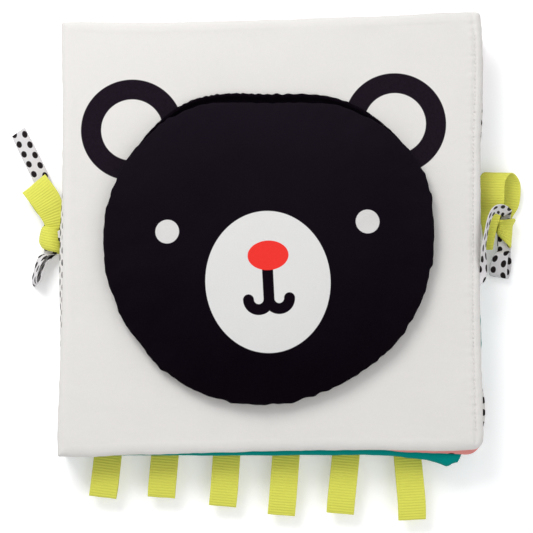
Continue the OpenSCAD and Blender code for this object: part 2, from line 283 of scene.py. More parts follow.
def black_plush(name, printed=False):
    """Brushed black cloth, with the bear's face printed on it or bare. The printed one is paler towards the
    crown and darker towards the foot, as painted light from above, in patches of tone that vary at random.
    The bare one, for the backing behind the head, is darker than the face: painted shade for the groove at
    the crown."""
    n = Nodes(name)
    point = n.place()
    pile = n.noise(point, 2.2, 4, 0.65)
    if printed:
        # Painted light: the face cloth runs from near black at the foot to paler towards the crown, as if lit
        # from above, with patches of tone at random on top
        patchy_tone = n.math("MULTIPLY_ADD", n.noise(point, 0.02, 3), 0.6, 0.2)
        up = n.math("MULTIPLY_ADD", n.split(point)[1], 1 / 150, patchy_tone)
        base = n.mix(n.math("MINIMUM", n.math("MAXIMUM", up, 0), 1), linear(6, 2, 7), linear(21, 15, 24))
    else:
        # Painted shade: the bare cloth, used for the backing, is darker than the face cloth, to stand for the
        # shade in the groove at the crown
        base = n.mix(n.noise(point, 0.3, 3), linear(4, 2, 5), BLACK_CLOTH)
    base = n.mix(n.math("MULTIPLY", n.math("POWER", pile, 3), 0.5), base, linear(44, 37, 47))
    if printed:
        base = face_print(n, point, base)
    n.bump(pile, 0.5, 0.3)
    return n.finish(base, 0.95, sheen=0.01, sheen_roughness=0.5, specular=0.01)


# The face from the head's middle, in millimetres: places and half sizes
EYE_PLACE, EYE_R = (57, 11.3), 6.8
MUZZLE_PLACE, MUZZLE_R = (-1.3, -20.3), (35.4, 40.2)
NOSE_PLACE, NOSE_R = (-0.5, -5.4), (11.6, 8.4)


def face_print(n, point, base):
    """Eyes, muzzle, nose and mouth, in the head's own turned frame."""
    rotate = n.tree.nodes.new("ShaderNodeVectorRotate")
    rotate.rotation_type = "Z_AXIS"
    n.link(n.vector("SUBTRACT", point, (HEAD_X, HEAD_Y, 0)), rotate.inputs["Vector"])
    rotate.inputs["Angle"].default_value = -math.radians(FACE_TURN)
    at = rotate.outputs[0]
    grain = n.noise(point, 1.4, 3)
    white = n.shade(PRINT_WHITE, grain, 0.93)
    ink = n.mix(grain, INK, BLACK_CLOTH)
    eye = n.shade(EYE_WHITE, grain, 0.93)
    for side in (-1, 1):
        place = (side * EYE_PLACE[0], EYE_PLACE[1])
        base = n.mix(n.step(n.oval(at, place, (1, 1)), EYE_R, 0.3), base, eye)
    base = n.mix(n.step(n.oval(at, MUZZLE_PLACE, MUZZLE_R), 1, 0.008), base, white)
    base = n.mix(mouth_shape(n, at), base, ink)
    nose = n.shade(NOSE_RED, grain, 0.9)
    return n.mix(n.step(n.oval(at, NOSE_PLACE, NOSE_R), 1, 0.03), base, nose)


def mouth_shape(n, at, line=6.2, low_y=-30.0, stem_y=-17.5, stem_half=14):
    """1 on a stem that ends in two upturned hooks."""
    x, y, _ = n.split(at)
    beside = n.math("ABSOLUTE", n.math("ADD", x, 1.2))
    stem = n.step(n.math("ABSOLUTE", n.math("SUBTRACT", y, stem_y)), stem_half, 0.3)
    stem = n.math("MULTIPLY", n.step(beside, line / 2, 0.3), stem)
    hook_r = line - 0.4
    middle = n.vector("LENGTH", n.vector("SUBTRACT", joined(n, beside, y), (hook_r, low_y, 0)))
    bend = n.step(n.math("ABSOLUTE", n.math("SUBTRACT", middle, hook_r)), line / 2, 0.3)
    bend = n.math("MULTIPLY", bend, n.step(y, low_y, 0.1))
    tip = n.vector("LENGTH", n.vector("SUBTRACT", joined(n, beside, y), (2 * hook_r, low_y, 0)))
    return n.math("MAXIMUM", n.math("MAXIMUM", stem, bend), n.step(tip, line / 2, 0.3))


def joined(n, x, y):
    part = n.tree.nodes.new("ShaderNodeCombineXYZ")
    n.link(x, part.inputs[0])
    n.link(y, part.inputs[1])
    return part.outputs[0]


def ribbed_ribbon(name, colour):
    """Grosgrain: ribs across the ribbon, with a smooth woven edge."""
    n = Nodes(name)
    at = n.on_ribbon()
    across, along, _ = n.split(at)
    ribs = n.wave(n.math("ADD", along, n.math("MULTIPLY", n.noise(at, 0.4, 2), 0.15)), 1.57)
    inner = n.step(n.math("ABSOLUTE", across), 7.2, 0.4)
    height = n.math("ADD", n.math("MULTIPLY", ribs, inner), n.math("MULTIPLY", n.noise(at, 3.5, 2), 0.3))
    base = n.shade(colour, n.math("SUBTRACT", 1, ribs), 0.92)
    base = n.shade(base, n.noise(at, 0.12, 3), 0.93)
    n.bump(height, 0.5, 0.4)
    return n.finish(base, 0.65, sheen=0.05, specular=0.2)


def dotted_ribbon(name):
    """Printed ribbon: black dots in offset rows on white."""
    n = Nodes(name)
    at = n.on_ribbon()
    grain = n.wave(n.split(at)[1], 0.5)
    base = n.shade(RIBBON_WHITE, n.noise(at, 0.3, 3), 0.94)
    base = n.shade(base, grain, 0.96)
    base = n.mix(n.dots(at, (11.4, 6.8), (1.6, 2.1), (2.85, 0)), base, DOT_BLACK)
    n.bump(n.math("ADD", grain, n.noise(at, 3, 2)), 0.3, 0.1)
    return n.finish(base, 0.6, specular=0.12)


def thread(name, colour):
    n = Nodes(name)
    point = n.place()
    twist = n.noise(point, 3, 2)
    n.bump(twist, 0.5, 0.1)
    return n.finish(n.shade(colour, twist, 0.9), 0.7, specular=0.3)


COTTON = cotton("cover_cotton", WHITE_CLOTH, ear_print)
DOTTED = cotton("dotted_cotton", WHITE_CLOTH, dot_print)
PINKISH = cotton("pink_cotton", PINK, dash_print)
TEAL_COTTON = cotton("teal_cotton", TEAL)
PALE_COTTON = cotton("pale_cotton", WHITE_CLOTH)
PLUSH = black_plush("black_plush")
FACE = black_plush("face_plush", printed=True)
GROSGRAIN = ribbed_ribbon("lime_grosgrain", LIME)
DOT_RIBBON = dotted_ribbon("dotted_ribbon")
STITCH = thread("white_thread", linear(236, 234, 231))


def add_mesh(name, points, faces, materials, face_slots=None, uvs=None):
    """A smooth mesh object from points in millimetres. uvs are one pair a point, in millimetres too."""
    mesh = bpy.data.meshes.new(name)
    mesh.from_pydata([tuple(p) for p in np.asarray(points, float) * MM], [], faces)
    for m in materials:
        mesh.materials.append(m)
    mesh.polygons.foreach_set("use_smooth", [True] * len(mesh.polygons))
    if face_slots is not None:
        mesh.polygons.foreach_set("material_index", face_slots)
    if uvs is not None:
        layer = mesh.uv_layers.new(name="cloth")
        corner = np.zeros(len(mesh.loops), np.int32)
        mesh.loops.foreach_get("vertex_index", corner)
        layer.uv.foreach_set("vector", (np.asarray(uvs, float)[corner] * MM).astype(np.float32).ravel())
    mesh.update()
    obj = bpy.data.objects.new(name, mesh)
    bpy.context.collection.objects.link(obj)
    return obj


def ripple(x, y, z=0.0):
    """Smooth noise from -1 to 1 at a place."""
    return noise.noise(Vector((x, y, z)))


def blend_row(a, b, c, d, u):
    return b + 0.5 * u * (c - a + u * (2 * a - 5 * b + 4 * c - d + u * (3 * (b - c) + d - a)))


def smooth_rows(rows, steps):
    """A smooth path through rows, with that many steps from one to the next."""
    rows = np.array(rows, float)
    last = len(rows) - 1
    path = [blend_row(rows[max(i - 1, 0)], rows[i], rows[i + 1], rows[min(i + 2, last)], k / steps)
            for i in range(last) for k in range(steps)]
    return np.array(path + [rows[last]])


def bands(rows, around):
    """Quads between each ring of points and the next, for that many rows of rings."""
    faces = []
    for k in range(rows - 1):
        for i in range(around):
            a, b, j = k * around, (k + 1) * around, (i + 1) % around
            faces.append((a + i, a + j, b + j, b + i))
    return faces


def ribbon(name, rows, material, thick=0.6, steps=14, slack=0.0):
    """A ribbon along rows of x, y, z, width, turn and tilt, as the part's own ribbons are laid."""
    path = smooth_rows(rows, steps)
    spot = path[:, :3]
    turn, tilt = np.radians(path[:, 4]), np.radians(path[:, 5])
    across = np.stack([np.cos(turn) * np.cos(tilt), np.sin(turn) * np.cos(tilt), np.sin(tilt)], 1)
    along = np.gradient(spot, axis=0)
    along /= np.linalg.norm(along, axis=1)[:, None]
    face = np.cross(along, across)
    face /= np.linalg.norm(face, axis=1)[:, None]
    run = np.concatenate([[0], np.cumsum(np.linalg.norm(np.diff(spot, axis=0), axis=1))])
    cuts = np.array([-1, -0.96, -0.75, -0.5, -0.25, 0, 0.25, 0.5, 0.75, 0.96, 1])
    slim = np.array([0.25, 0.5, 0.5, 0.5, 0.5, 0.5, 0.5, 0.5, 0.5, 0.5, 0.25])
    points, uvs = [], []
    for i in range(len(path)):
        half = path[i, 3] / 2
        for side in (1, -1):
            for c, s in list(zip(cuts, slim))[::side]:
                bow = slack * ripple(c * 1.3, run[i] * 0.11, len(rows))
                points.append(spot[i] + across[i] * c * half + face[i] * (bow + side * s * thick))
                uvs.append((c * half, run[i]))
    ring = 2 * len(cuts)
    faces = bands(len(path), ring)
    last = (len(path) - 1) * ring
    faces += [tuple(range(ring))[::-1], tuple(range(last, last + ring))]
    obj = add_mesh(name, points, faces, [material], uvs=uvs)
    obj["flat"] = (float(path[:, 3].mean()) * MM, float(run[-1]) * MM)
    return obj


def declare_ribbon(obj, node, body):
    """Puts a ribbon on the body that it rides on, and hides the part's node that it stands for."""
    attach(obj, body)
    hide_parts(node)


def curve(table, smooth=6.0):
    """A smooth line through a table of places and values, as a function."""
    at, value = np.array(sorted(table), float).T
    fine = np.arange(at[0] - 40, at[-1] + 40, 0.5)
    rough = np.interp(fine, at, value)
    reach = int(4 * smooth)
    kernel = np.exp(-0.5 * (np.arange(-reach, reach + 1) * 0.5 / smooth) ** 2)
    soft = np.convolve(np.pad(rough, reach, mode="edge"), kernel / kernel.sum(), mode="valid")
    return lambda t: float(np.interp(t, fine, soft))


# How far apart the dimples are along the fore edge's stitches, in millimetres
DIMPLE = 4.8


def panel(name, edges, z_low, z_high, materials, seed, seam=0.5, roll=7.0, cells=(110, 150), stitch_in=None,
          corners=(3.5, 3.5, 3.5, 3.5), bulge=None):
    """A stuffed panel: two cloths that meet in a seam round the edge. edges are four smooth lines: left
    and right give x along y, foot and head give y along x. Slot 0 is the upper cloth, slot 1 the lower
    one. corners are the corners' radii: foot left, foot right, head left, head right. bulge(x) is how
    far the lower cloth swells out past the seam at the foot."""
    middle_z = z_low + seam * (z_high - z_low)
    low_x, high_x, low_y, high_y = edges["left"](0), edges["right"](0), edges["foot"](0), edges["head"](0)
    middle = ((low_x + high_x) / 2, (low_y + high_y) / 2)
    half = ((high_x - low_x) / 2, (high_y - low_y) / 2)
    heights = (z_low, z_high, middle_z)
    # cells crowd towards the edges, where the cloth turns
    crowd = math.pi / 2 * 0.82
    columns, rows = (np.sin(np.linspace(-crowd, crowd, count + 1)) / math.sin(crowd) for count in cells)
    points = [panel_point(u, v, upper, middle, half, edges, heights, seed, roll, stitch_in, corners, bulge)
              for upper in (True, False) for v in rows for u in columns]
    wide, tall = cells[0] + 1, cells[1] + 1
    faces, slots = [], []
    for layer in (0, 1):
        for j in range(cells[1]):
            for i in range(cells[0]):
                a = layer * wide * tall + j * wide + i
                quad = (a, a + 1, a + wide + 1, a + wide)
                faces.append(quad if layer == 0 else quad[::-1])
                slots.append(layer if len(materials) > 1 else 0)
    obj = add_mesh(name, points, faces, materials, slots)
    join_seam(obj)
    return obj


def join_seam(obj):
    """Joins the points of the two cloths where they meet."""
    b = bmesh.new()
    b.from_mesh(obj.data)
    bmesh.ops.remove_doubles(b, verts=b.verts, dist=0.00002)
    b.to_mesh(obj.data)
    b.free()


def panel_point(u, v, upper, middle, half, edges, heights, seed, roll, stitch_in, corners, bulge):
    """One point of a panel's cloth. u and v go from -1 to 1 across and up it."""
    x, y = u * half[0], v * half[1]
    corner_r = corners[2 * (y > 0) + (x > 0)]
    # round the corner: a square of side corner_r becomes a quarter disc
    dx, dy = abs(x) - (half[0] - corner_r), abs(y) - (half[1] - corner_r)
    if dx > 0 and dy > 0:
        shrink = max(dx, dy) / math.hypot(dx, dy)
        x = math.copysign(half[0] - corner_r + dx * shrink, x)
        y = math.copysign(half[1] - corner_r + dy * shrink, y)
        inside = corner_r - math.hypot(dx, dy) * shrink
    else:
        inside = min(half[0] - abs(x), half[1] - abs(y))
    across, along = (x / half[0] + 1) / 2, (y / half[1] + 1) / 2
    real_x, real_y = middle[0] + x, middle[1] + y
    at_x = (1 - across) * edges["left"](real_y) + across * edges["right"](real_y)
    at_y = (1 - along) * edges["foot"](real_x) + along * edges["head"](real_x)
    # the seam wanders a little, and is drawn in by the stitches
    beside = math.exp(-inside / 9)
    wobble = beside * (0.3 * ripple(x * 0.045, y * 0.045, seed) + 0.25 * ripple(x * 0.21, y * 0.21, seed + 5))
    at_x += wobble * x / half[0]
    at_y += wobble * y / half[1]
    share = min(inside / roll, 1)
    swell = math.sqrt(max(1 - (1 - share) ** 2, 0))
    pucker = math.exp(-inside / 5) * share * 0.7 * ripple(x * 0.16, y * 0.16, seed + 9)
    soft = 0.45 * ripple(x * 0.018, y * 0.018, seed + 2) + 0.14 * ripple(x * 0.06, y * 0.06, seed + 3)
    soft = share * (soft - 0.35)
    if stitch_in:
        from_line = half[0] - x - stitch_in
        swell *= 1 - 0.2 * math.exp(-(from_line / 0.9) ** 2) * min(inside / 4, 1)
        dimple = 0.5 * math.sin(2 * math.pi * y / DIMPLE) + ripple(from_line * 0.15, y * 0.33, seed + 7)
        pucker += 0.32 * math.exp(-(from_line / 3.2) ** 2) * dimple
    if bulge and not upper:
        at_y -= bulge(real_x) * math.sin(math.pi * share) * (along < 0.1)
    z_low, z_high, middle_z = heights
    reach = (z_high - middle_z) if upper else (z_low - middle_z)
    z = middle_z + reach * swell + (1 if upper else -0.3) * (pucker + soft) * share
    return (at_x, at_y, min(max(z, z_low), z_high + 0.25))


def stitches(name, edge, inset, low_y, high_y, top, pitch=2.4, length=1.75, across=0.5):
    """Short thread stitches up the cloth, inset from its edge and sunk in it at both ends. top(x, y) is
    the cloth's height."""
    count = int((high_y - low_y) / pitch)
    way, side = np.array([0, 1.0]), np.array([-1.0, 0])
    points, faces = [], []
    for i in range(count):
        y = low_y + pitch * (i + 0.5)
        mid = np.array([edge(y) - inset, y]) + side * 0.12 * ripple(i * 0.7, 3.3)
        base = len(points)
        rings = 5
        for k in range(rings):
            f = k / (rings - 1) * 2 - 1
            rise = 0.1 + 0.3 * (1 - f * f)
            size = across * (0.45 + 0.55 * math.sqrt(max(1 - f * f, 0)))
            spot = mid + way * f * length / 2
            for a in range(6):
                t = a * math.pi / 3
                offset = spot + side * size / 2 * math.cos(t)
                points.append((*offset, top(*spot) + rise + size / 2 * math.sin(t)))
        for k in range(rings - 1):
            for a in range(6):
                p, q = base + k * 6 + a, base + k * 6 + (a + 1) % 6
                faces.append((p, q, q + 6, p + 6))
        faces.append(tuple(base + a for a in range(6))[::-1])
        faces.append(tuple(base + (rings - 1) * 6 + a for a in range(6)))
    return add_mesh(name, points, faces, [STITCH])


def height_on(obj):
    """A function that gives the height of obj's upper side, in millimetres."""
    spots = [v.co.copy() for v in obj.data.vertices]
    tree = BVHTree.FromPolygons(spots, [tuple(p.vertices) for p in obj.data.polygons])

    def top(x, y):
        hit = tree.ray_cast(Vector((x * MM, y * MM, 1)), Vector((0, 0, -1)))
        return hit[0].z / MM if hit[0] else COVER_TOP
    return top


# How far in from the fore edge the front cover is topstitched, in millimetres
STITCH_IN = 4.8
# How far the front cover's seam stands out from the frame's own cover, in millimetres, at a share of
# the way from the foot to the head, and from the spine to the fore edge
SPINE_EDGE = [(0, 2.9), (0.1, 2.8), (0.21, 2), (0.33, 1.3), (0.6, 1.5), (0.85, 2.2), (0.88, 2.7), (1, 3.2)]
FORE_EDGE = [(0, 1.1), (0.2, 0.3), (0.35, 0), (0.6, 1), (0.75, 1.6), (0.88, 3.1), (0.96, 3.3), (1.02, 1.6)]
FOOT_EDGE = [(0, 1.1), (0.08, 1.1), (0.15, -0.1), (0.33, -1.2), (0.55, -2.5), (0.7, -2.9), (0.9, -2.4),
             (1, -3.2)]
HEAD_EDGE = [(0, 2), (0.03, 2.7), (0.13, 1.7), (0.3, 2.3), (0.5, 3.6), (0.75, 5.7), (0.96, 8.2), (1, 8)]
# The same for the leaf that hangs out below it, and for the cover's own underside
LEAF_FOOT = [(0, 0.5), (0.3, 0.2), (0.5, 0.4), (0.72, -0.2), (0.8, 0.9), (0.87, 2.8), (0.9, 4.8),
             (0.921, 6.9), (0.937, 4.6), (0.951, 4.2), (0.956, -2), (1, -5)]
PINK_SHOWS = [(0, 0), (0.72, 0), (0.8, 3.6), (0.9, 4.2), (0.97, 6), (1, 3)]
# How far the dotted back cover's fore edge stands out, from the foot to the head
BACK_EDGE = [(0, 1), (0.04, 2.4), (0.07, 5.2), (0.13, 4.8), (0.17, 2.4), (0.68, 2.4), (0.76, 5.2),
             (0.93, 6.6), (1, 5.4)]


def upright_edge(table, line, side, smooth=6.0):
    """x along y, from shares of the cover's height and how far the edge stands out from line there."""
    return curve([((share - 0.5) * COVER_H, line + side * out) for share, out in table], smooth)


def level_edge(table, line, side, smooth=6.0):
    """y along x, from shares of the cover's width and how far the edge stands out from line there."""
    return curve([((share - 0.5) * COVER_W, line + side * out) for share, out in table], smooth)


def straight(start, end, reach=130):
    return curve([(-reach, start), (reach, end)])


def front_cover():
    """The white cover with the ear rings, its pink underside and its topstitching."""
    edges = {"left": upright_edge(SPINE_EDGE, -COVER_W / 2, -1),
             "right": upright_edge(FORE_EDGE, COVER_W / 2, 1),
             "foot": level_edge(FOOT_EDGE, -COVER_H / 2, -1, 4),
             "head": level_edge(HEAD_EDGE, COVER_H / 2, 1)}
    pink = level_edge(PINK_SHOWS, 0, 1, 3)
    obj = panel("front_cover_cloth", edges, COVER_UNDER, COVER_TOP, [COTTON, PINKISH], seed=1, seam=0.45,
                cells=(130, 320), stitch_in=STITCH_IN, corners=(1.2, 7, 1.2, 2.4), bulge=pink)
    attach(obj, "front")
    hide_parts("front_cover", "ear_rings")
    line = stitches("fore_edge_stitching", edges["right"], STITCH_IN, -112, 121, height_on(obj))
    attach(line, "front")
    return obj


def back_cover():
    edges = {"left": straight(-120.2, -120.2), "right": upright_edge(BACK_EDGE, COVER_W / 2, 1, 4),
             "foot": straight(-126, -122.3), "head": straight(121, 125.5)}
    obj = panel("back_cover_cloth", edges, BACK_LOW[2], BACK_HIGH[2], [DOTTED, DOTTED], seed=4, roll=6)
    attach(obj, "back")
    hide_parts("back_cover")


def leaves():
    """The teal leaf that hangs out at the foot, and the pale one below it."""
    middle = PAGES_LOW[2] + LEAF_T
    upper_right = [(-130, 119.8), (-100, 121.4), (-60, 121.9), (-30, 121), (40, 120), (128, 120)]
    at_spine, at_head = straight(-120.5, -120.5), straight(121, 125)
    upper_edges = {"left": at_spine, "right": curve(upper_right),
                   "foot": level_edge(LEAF_FOOT, -COVER_H / 2, -1, 0.8), "head": at_head}
    lower_edges = {"left": at_spine, "right": straight(119.8, 119.8),
                   "foot": straight(-123, -119.4), "head": at_head}
    upper = panel("upper_leaf", upper_edges, middle, PAGES_HIGH[2], [TEAL_COTTON, TEAL_COTTON], seed=2)
    lower = panel("lower_leaf", lower_edges, PAGES_LOW[2], middle, [PALE_COTTON, TEAL_COTTON], seed=3)
    for obj in (upper, lower):
        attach(obj, "book_block")
        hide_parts("pages")


def spine():
    """Dotted cloth round the spine, in an upper and a lower half."""
    edge = upright_edge(SPINE_EDGE, -COVER_W / 2, -1)
    mid = COVER_TOP / 2
    # out from the edge above, and height, up the upper half and down the lower one
    turns, upward, downward = np.linspace(0.5, 1, 9), COVER_TOP - 4.2 - mid, mid - 2.2
    rise = [(0.3 - 0.7 * math.sin(math.pi * t), mid + (2 * t - 1) * upward) for t in turns]
    rise += [(0.9, COVER_TOP - 3.8), (1.8, COVER_TOP - 3.6)]
    fall = [(0.3 - 0.7 * math.sin(math.pi * t), mid - (2 * t - 1) * downward) for t in turns]
    fall += [(0.7, 1.5), (1.5, 1.1)]
    spine_half("spine_upper", rise, edge)
    spine_half("spine_lower", fall, edge)


# How far the spine swells out halfway up the book, in millimetres
SPINE_SWELL = 2.4


def spine_half(name, profile, edge):
    """Spine cloth along a profile of out and height, from halfway up the book to a cover."""
    foot, head, count, thick = -124.0, 125.0, 160, 0.4
    run = np.concatenate([[0], np.cumsum(np.linalg.norm(np.diff(profile, axis=0), axis=1))])
    n = len(profile)
    points, faces, uvs = [], [], []
    for layer in (0, 1):
        for j in range(count + 1):
            y = foot + (head - foot) * j / count
            for k, (x, z) in enumerate(profile):
                wave = 0.3 * ripple(y * 0.05, z * 0.12, 8) + 0.1 * ripple(y * 0.2, z * 0.3, 9)
                middle = max(1 - ((2 * z - COVER_TOP) / (COVER_TOP - 6)) ** 2, 0)
                swell = SPINE_SWELL * middle * math.exp(-((y + 15) / 45) ** 2)
                points.append((edge(y) + x + wave - swell + layer * thick, y, z))
                uvs.append((run[k], y))
    block = (count + 1) * n
    for j in range(count):
        for k in range(n - 1):
            a = j * n + k
            faces.append((a, a + n, a + n + 1, a + 1))
            faces.append(tuple(block + i for i in (a, a + 1, a + n + 1, a + n)))
    for j in range(count):
        for k in (0, n - 1):
            a = j * n + k
            edge_face = (a, a + n, block + a + n, block + a)
            faces.append(edge_face if k else edge_face[::-1])
    for k in range(n - 1):
        for j in (0, count):
            a = j * n + k
            edge_face = (a, a + 1, block + a + 1, block + a)
            faces.append(edge_face if not j else edge_face[::-1])
    obj = add_mesh(name, points, faces, [DOTTED_SPINE], uvs=uvs)
    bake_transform(obj)
    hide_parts("spine")


def dotted_spine_material():
    n = Nodes("dotted_spine")
    at = n.on_ribbon()
    threads = weave(n, at)
    base = n.shade(WHITE_CLOTH, n.math("SUBTRACT", 1, threads), 0.95)
    base = dot_print(n, at, base)
    n.bump(threads, 0.35, 0.12)
    return n.finish(base, 0.9, sheen=0.05, specular=0.2)


DOTTED_SPINE = dotted_spine_material()


def head_reach(angle, lower):
    """Reach of the head's outline from its middle, in millimetres, at an angle in degrees."""
    n = len(HEAD_REACH)
    reach = [r * HEAD_W / 2 - (lower if abs(i - n / 4) <= 1 else 0) for i, r in enumerate(HEAD_REACH)]
    place = (angle % 360) / 360 * n
    i = int(place)
    return blend_row(reach[(i - 1) % n], reach[i % n], reach[(i + 1) % n], reach[(i + 2) % n], place - i)


def head_form():
    """The head before it is stuffed: a crowned top, a seam near its foot and a tucked underside."""
    around, inward = 240, 30
    low_z, high_z = PAD_LOW[2], PAD_HIGH[2] - STUFFED
    seam_z = low_z + 0.2 * (PAD_HIGH[2] - low_z)
    rings = []
    for k in range(inward):
        # 1 at the rim, 0 at the middle, with rows crowded at the rim
        share = math.cos(k / (inward - 1) * math.pi / 2 * 0.985) ** 0.8
        rings.append((share, seam_z + (high_z - seam_z) * math.sqrt(max(1 - share ** 3, 0))))
    under = [(0.985, 0.12), (0.96, 0.05), (0.92, 0.0)]
    rings = [(share, low_z + rise * (PAD_HIGH[2] - low_z)) for share, rise in reversed(under)] + rings
    points = []
    for share, z in rings:
        for i in range(around):
            angle = 360 * i / around
            a = math.radians(angle)
            r = (head_reach(angle, POCKET_SHOW) + RIM_LOSS) * share
            points.append((HEAD_X + r * math.cos(a), HEAD_Y + r * math.sin(a), z))
    faces = bands(len(rings), around)
    last = (len(rings) - 1) * around
    for row, z in ((0, low_z), (last, high_z)):
        middle = len(points)
        points.append((HEAD_X, HEAD_Y, z))
        for i in range(around):
            j = (i + 1) % around
            faces.append((row + i, row + j, middle) if row else (row + j, row + i, middle))
    return add_mesh("stuffed_head", points, faces, [FACE])


def coordinates(mesh):
    flat = np.zeros(3 * len(mesh.vertices), np.float32)
    mesh.vertices.foreach_get("co", flat)
    return flat.reshape(-1, 3)


def apply_modifiers(obj):
    shaped = obj.evaluated_get(bpy.context.evaluated_depsgraph_get())
    mesh = bpy.data.meshes.new_from_object(shaped)
    obj.modifiers.clear()
    obj.data = mesh
    mesh.polygons.foreach_set("use_smooth", [True] * len(mesh.polygons))


def inflate(obj, held_below, voxel=4.0, pressure=4.0, cap=4.0, frames=20):
    """Fills a closed cloth form by simulation. Points below held_below stay, and none moves
    further than cap."""
    remesh = obj.modifiers.new("even", "REMESH")
    remesh.mode = "VOXEL"
    remesh.voxel_size = voxel * MM
    apply_modifiers(obj)
    start = coordinates(obj.data)
    held = obj.vertex_groups.new(name="held")
    held.add([i for i, p in enumerate(start) if p[2] < held_below * MM], 1.0, "REPLACE")
    cloth = obj.modifiers.new("cloth", "CLOTH")
    cloth.settings.vertex_group_mass = "held"
    cloth.settings.use_pressure = True
    cloth.settings.uniform_pressure_force = pressure
    cloth.settings.effector_weights.gravity = 0
    for frame_number in range(1, frames + 1):
        bpy.context.scene.frame_set(frame_number)
    shaped = obj.evaluated_get(bpy.context.evaluated_depsgraph_get())
    step = coordinates(shaped.data) - start
    length = np.linalg.norm(step, axis=1)
    step *= np.minimum(1, cap * MM / np.maximum(length, 1e-9))[:, None]
    obj.modifiers.clear()
    obj.data.vertices.foreach_set("co", (start + step).ravel())
    bpy.context.scene.frame_set(1)


def head_pad():
    """The stuffed head: blown up from its flat form, then drawn into gathers round its seam."""
    obj = head_form()
    inflate(obj, held_below=PAD_LOW[2] + 4)
    fine = obj.modifiers.new("fine", "SUBSURF")
    fine.levels = 2
    apply_modifiers(obj)
    points = coordinates(obj.data) / MM
    for point in points:
        dx, dy = point[0] - HEAD_X, point[1] - HEAD_Y
        angle = math.degrees(math.atan2(dy, dx))
        far = math.hypot(dx, dy)
        inset = head_reach(angle, POCKET_SHOW) - far
        way_x, way_y = math.cos(math.radians(angle)), math.sin(math.radians(angle))
        small = math.exp(-max(inset, 0) / 6.5) * ripple(way_x * 19, way_y * 19, 4)
        broad = math.exp(-max(inset, 0) / 18) * ripple(way_x * 7, way_y * 7, 9)
        lift = min(max((point[2] - PAD_LOW[2]) / 4, 0), 1)
        dent = 0.7 * ripple(dx * 0.024, dy * 0.024, 3) * min(max(inset / 30, 0), 1)
        out = (small * 0.6 + broad * 0.5) * lift / max(far, 1)
        point[0] += dx * out
        point[1] += dy * out
        point[2] += (small * 0.9 + broad * 1.4) * min(max(inset / 4, 0), 1) + dent
    obj.data.vertices.foreach_set("co", (points * MM).astype(np.float32).ravel())
    obj.data.update()
    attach(obj, "front")
    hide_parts("head_pad", "eyes", "muzzle", "nose", "mouth")


# How far the backing stands out above the head, and the pitch of its twisted hem there, in millimetres
CROWN_SHOW = 2.2
CROWN_TWIST = 5.2


def head_backing():
    """The cloth behind the stuffed head, whose rolled edge shows above the pocket's mouth."""
    around = 720
    low_z, high_z = (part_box("head_backing")[k][2] / MM for k in (0, 1))
    # out from the edge, and height as a share of the backing's: a rolled hem, and the head's bed
    profile = [(-3, 0.0), (-0.6, 0.02), (0.5, 0.25), (0.95, 0.75), (0.6, 1.25), (-0.3, 1.45), (-1.2, 1.15),
               (-1.9, 0.5), (-3, 0.15), (-9, 0.1)]
    points = []
    for out, rise in profile:
        for i in range(around):
            angle = 360 * i / around
            reach = head_reach(angle, 0)
            wave = reach * math.radians(angle)
            crown = math.exp(-((angle - 92) / 32) ** 2)
            twist = math.sin(2 * math.pi * wave / CROWN_TWIST + 2.4 * rise + 2 * ripple(wave * 0.05, 4, 17))
            bump = (0.15 + 0.5 * crown) * ripple(wave * 0.33, rise, 14)
            bump += 0.4 * crown * ripple(wave * 0.09, rise, 15)
            r = reach - 0.5 + out + bump + crown * (CROWN_SHOW + 0.16 * twist)
            a = math.radians(angle)
            high = (high_z - low_z) * (0.6 + 0.5 * crown)
            z = low_z + rise * high * (1 + 0.25 * crown * (ripple(wave * 0.3, 2, 16) + 0.6 * twist))
            points.append((HEAD_X + r * math.cos(a), HEAD_Y + r * math.sin(a), z))
    rows = len(profile)
    faces = bands(rows, around)
    for row, z in ((0, low_z), (rows - 1, low_z + 0.1)):
        middle = len(points)
        points.append((HEAD_X, HEAD_Y, z))
        for i in range(around):
            j = (i + 1) % around
            a = row * around
            faces.append((a + i, a + j, middle) if row else (a + j, a + i, middle))
    obj = add_mesh("head_backing_cloth", points, faces, [PLUSH])
    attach(obj, "front")
    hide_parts("head_backing")


RIBBED_W = 16.0
# Each tab's place along the foot as a share of the cover's width, its reach and its lean
TABS = [(-0.396, 27.5, -7.5), (-0.258, 28, -4.5), (-0.109, 33.6, -5.2),
        (0.035, 39.3, -4.8), (0.181, 39, -5.4), (0.325, 43, 3)]
# How far each tab's end droops, and how far its middle bends sideways, in millimetres
TAB_DROOP = [1.0, 1.5, 2.0, 2.5, 2.0, 1.5]
TAB_BEND = [0.4, -0.3, 0.5, 0.2, -0.4, 1.2]


def ribbon_tabs():
    """Six folded ribbons in the lower leaf's hem."""
    level = PAGES_LOW[2] + LEAF_T / 2
    for i, (share, reach, lean) in enumerate(TABS):
        hem = -123 + 3.7 * (share + 0.5)
        turn = math.radians(lean)
        bend, droop = TAB_BEND[i], TAB_DROOP[i]
        # out, level and bend from the hem to the fold, then back again underneath
        half = [(-4, 0.45, 0), (0, 0.5, 0), (0.35 * reach, 1.3 - 0.2 * droop, 0.5 * bend),
                (0.75 * reach, 1.8 - 0.6 * droop, bend), (reach - 1.2, 1.1 - droop, 0.8 * bend)]
        line = half + [(reach, -droop, 0.7 * bend)]
        line += [(out, z - 2 * (z + share_of_droop(out, reach, droop)), side)
                 for out, z, side in reversed(half)]
        rows = [(share * COVER_W + side * math.cos(turn) + out * math.sin(turn),
                 hem + side * math.sin(turn) - out * math.cos(turn), level + z, RIBBED_W, lean, 0)
                for out, z, side in line]
        node = f"ribbon_tab_{i + 1}"
        obj = ribbon(f"{node}_cloth", rows, GROSGRAIN, slack=0.25)
        declare_ribbon(obj, node, "book_block")


